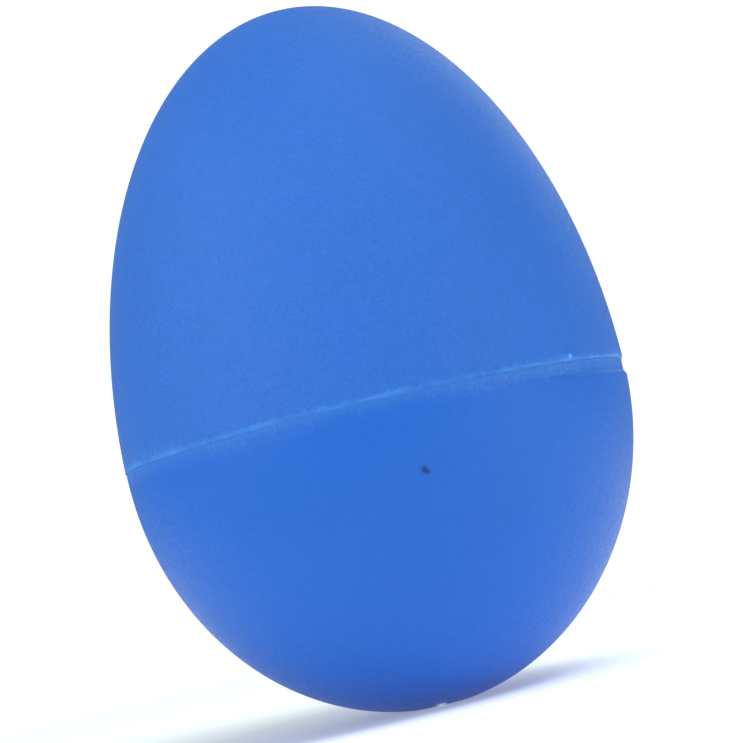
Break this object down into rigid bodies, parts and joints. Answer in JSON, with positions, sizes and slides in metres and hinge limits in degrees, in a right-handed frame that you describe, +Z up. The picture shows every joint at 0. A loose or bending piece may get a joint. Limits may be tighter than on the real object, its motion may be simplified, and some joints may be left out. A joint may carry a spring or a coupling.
{
  "type": "egg shaker",
  "caption": "Hand shaker: a hollow two-part plastic egg, welded at its widest circle and standing on its big end, with loose steel shot inside.",
  "frame": {"origin": "centre of the small flat at the tip of the big end, the lowest face of the standing egg", "axes": "+Z up along the egg's axis of revolution, from the big end to the small end; +X and +Y are free, because the egg is round"},
  "size_m": [0.0402, 0.0402, 0.0561],
  "materials": {
    "upper_shell": "satin blue injection-moulded plastic with a fine spark-eroded grain",
    "lower_shell": "satin blue injection-moulded plastic with a fine spark-eroded grain",
    "shot": "plain bright steel shot, tumbled"
  },
  "bodies": {
    "shell": {"upper_shell": "upper_shell", "lower_shell": "lower_shell"},
    "shot_01": {"shot_01": "shot"},
    "shot_02": {"shot_02": "shot"},
    "shot_03": {"shot_03": "shot"},
    "shot_04": {"shot_04": "shot"},
    "shot_05": {"shot_05": "shot"},
    "shot_06": {"shot_06": "shot"},
    "shot_07": {"shot_07": "shot"},
    "shot_08": {"shot_08": "shot"},
    "shot_09": {"shot_09": "shot"},
    "shot_10": {"shot_10": "shot"},
    "shot_11": {"shot_11": "shot"},
    "shot_12": {"shot_12": "shot"},
    "shot_13": {"shot_13": "shot"},
    "shot_14": {"shot_14": "shot"},
    "shot_15": {"shot_15": "shot"},
    "shot_16": {"shot_16": "shot"},
    "shot_17": {"shot_17": "shot"},
    "shot_18": {"shot_18": "shot"},
    "shot_19": {"shot_19": "shot"},
    "shot_20": {"shot_20": "shot"},
    "shot_21": {"shot_21": "shot"},
    "shot_22": {"shot_22": "shot"},
    "shot_23": {"shot_23": "shot"},
    "shot_24": {"shot_24": "shot"},
    "shot_25": {"shot_25": "shot"},
    "shot_26": {"shot_26": "shot"},
    "shot_27": {"shot_27": "shot"},
    "shot_28": {"shot_28": "shot"},
    "shot_29": {"shot_29": "shot"},
    "shot_30": {"shot_30": "shot"},
    "shot_31": {"shot_31": "shot"}
  },
  "joints": [
    {"name": "shot_01_toss", "type": "slide", "parent": "shell", "child": "shot_01", "axis": [0, 0, 1], "range_m": [0, 0.0485]},
    {"name": "shot_02_toss", "type": "slide", "parent": "shell", "child": "shot_02", "axis": [0, 0, 1], "range_m": [0, 0.0466]},
    {"name": "shot_03_toss", "type": "slide", "parent": "shell", "child": "shot_03", "axis": [0, 0, 1], "range_m": [0, 0.0466]},
    {"name": "shot_04_toss", "type": "slide", "parent": "shell", "child": "shot_04", "axis": [0, 0, 1], "range_m": [0, 0.0466]},
    {"name": "shot_05_toss", "type": "slide", "parent": "shell", "child": "shot_05", "axis": [0, 0, 1], "range_m": [0, 0.0466]},
    {"name": "shot_06_toss", "type": "slide", "parent": "shell", "child": "shot_06", "axis": [0, 0, 1], "range_m": [0, 0.0466]},
    {"name": "shot_07_toss", "type": "slide", "parent": "shell", "child": "shot_07", "axis": [0, 0, 1], "range_m": [0, 0.0466]},
    {"name": "shot_08_toss", "type": "slide", "parent": "shell", "child": "shot_08", "axis": [0, 0, 1], "range_m": [0, 0.0428]},
    {"name": "shot_09_toss", "type": "slide", "parent": "shell", "child": "shot_09", "axis": [0, 0, 1], "range_m": [0, 0.0428]},
    {"name": "shot_10_toss", "type": "slide", "parent": "shell", "child": "shot_10", "axis": [0, 0, 1], "range_m": [0, 0.0428]},
    {"name": "shot_11_toss", "type": "slide", "parent": "shell", "child": "shot_11", "axis": [0, 0, 1], "range_m": [0, 0.0428]},
    {"name": "shot_12_toss", "type": "slide", "parent": "shell", "child": "shot_12", "axis": [0, 0, 1], "range_m": [0, 0.0428]},
    {"name": "shot_13_toss", "type": "slide", "parent": "shell", "child": "shot_13", "axis": [0, 0, 1], "range_m": [0, 0.0428]},
    {"name": "shot_14_toss", "type": "slide", "parent": "shell", "child": "shot_14", "axis": [0, 0, 1], "range_m": [0, 0.0408]},
    {"name": "shot_15_toss", "type": "slide", "parent": "shell", "child": "shot_15", "axis": [0, 0, 1], "range_m": [0, 0.0408]},
    {"name": "shot_16_toss", "type": "slide", "parent": "shell", "child": "shot_16", "axis": [0, 0, 1], "range_m": [0, 0.0408]},
    {"name": "shot_17_toss", "type": "slide", "parent": "shell", "child": "shot_17", "axis": [0, 0, 1], "range_m": [0, 0.0408]},
    {"name": "shot_18_toss", "type": "slide", "parent": "shell", "child": "shot_18", "axis": [0, 0, 1], "range_m": [0, 0.0408]},
    {"name": "shot_19_toss", "type": "slide", "parent": "shell", "child": "shot_19", "axis": [0, 0, 1], "range_m": [0, 0.0408]},
    {"name": "shot_20_toss", "type": "slide", "parent": "shell", "child": "shot_20", "axis": [0, 0, 1], "range_m": [0, 0.0341]},
    {"name": "shot_21_toss", "type": "slide", "parent": "shell", "child": "shot_21", "axis": [0, 0, 1], "range_m": [0, 0.0341]},
    {"name": "shot_22_toss", "type": "slide", "parent": "shell", "child": "shot_22", "axis": [0, 0, 1], "range_m": [0, 0.0341]},
    {"name": "shot_23_toss", "type": "slide", "parent": "shell", "child": "shot_23", "axis": [0, 0, 1], "range_m": [0, 0.0341]},
    {"name": "shot_24_toss", "type": "slide", "parent": "shell", "child": "shot_24", "axis": [0, 0, 1], "range_m": [0, 0.0341]},
    {"name": "shot_25_toss", "type": "slide", "parent": "shell", "child": "shot_25", "axis": [0, 0, 1], "range_m": [0, 0.0341]},
    {"name": "shot_26_toss", "type": "slide", "parent": "shell", "child": "shot_26", "axis": [0, 0, 1], "range_m": [0, 0.0341]},
    {"name": "shot_27_toss", "type": "slide", "parent": "shell", "child": "shot_27", "axis": [0, 0, 1], "range_m": [0, 0.0341]},
    {"name": "shot_28_toss", "type": "slide", "parent": "shell", "child": "shot_28", "axis": [0, 0, 1], "range_m": [0, 0.0341]},
    {"name": "shot_29_toss", "type": "slide", "parent": "shell", "child": "shot_29", "axis": [0, 0, 1], "range_m": [0, 0.0341]},
    {"name": "shot_30_toss", "type": "slide", "parent": "shell", "child": "shot_30", "axis": [0, 0, 1], "range_m": [0, 0.0341]},
    {"name": "shot_31_toss", "type": "slide", "parent": "shell", "child": "shot_31", "axis": [0, 0, 1], "range_m": [0, 0.0341]}
  ]
}
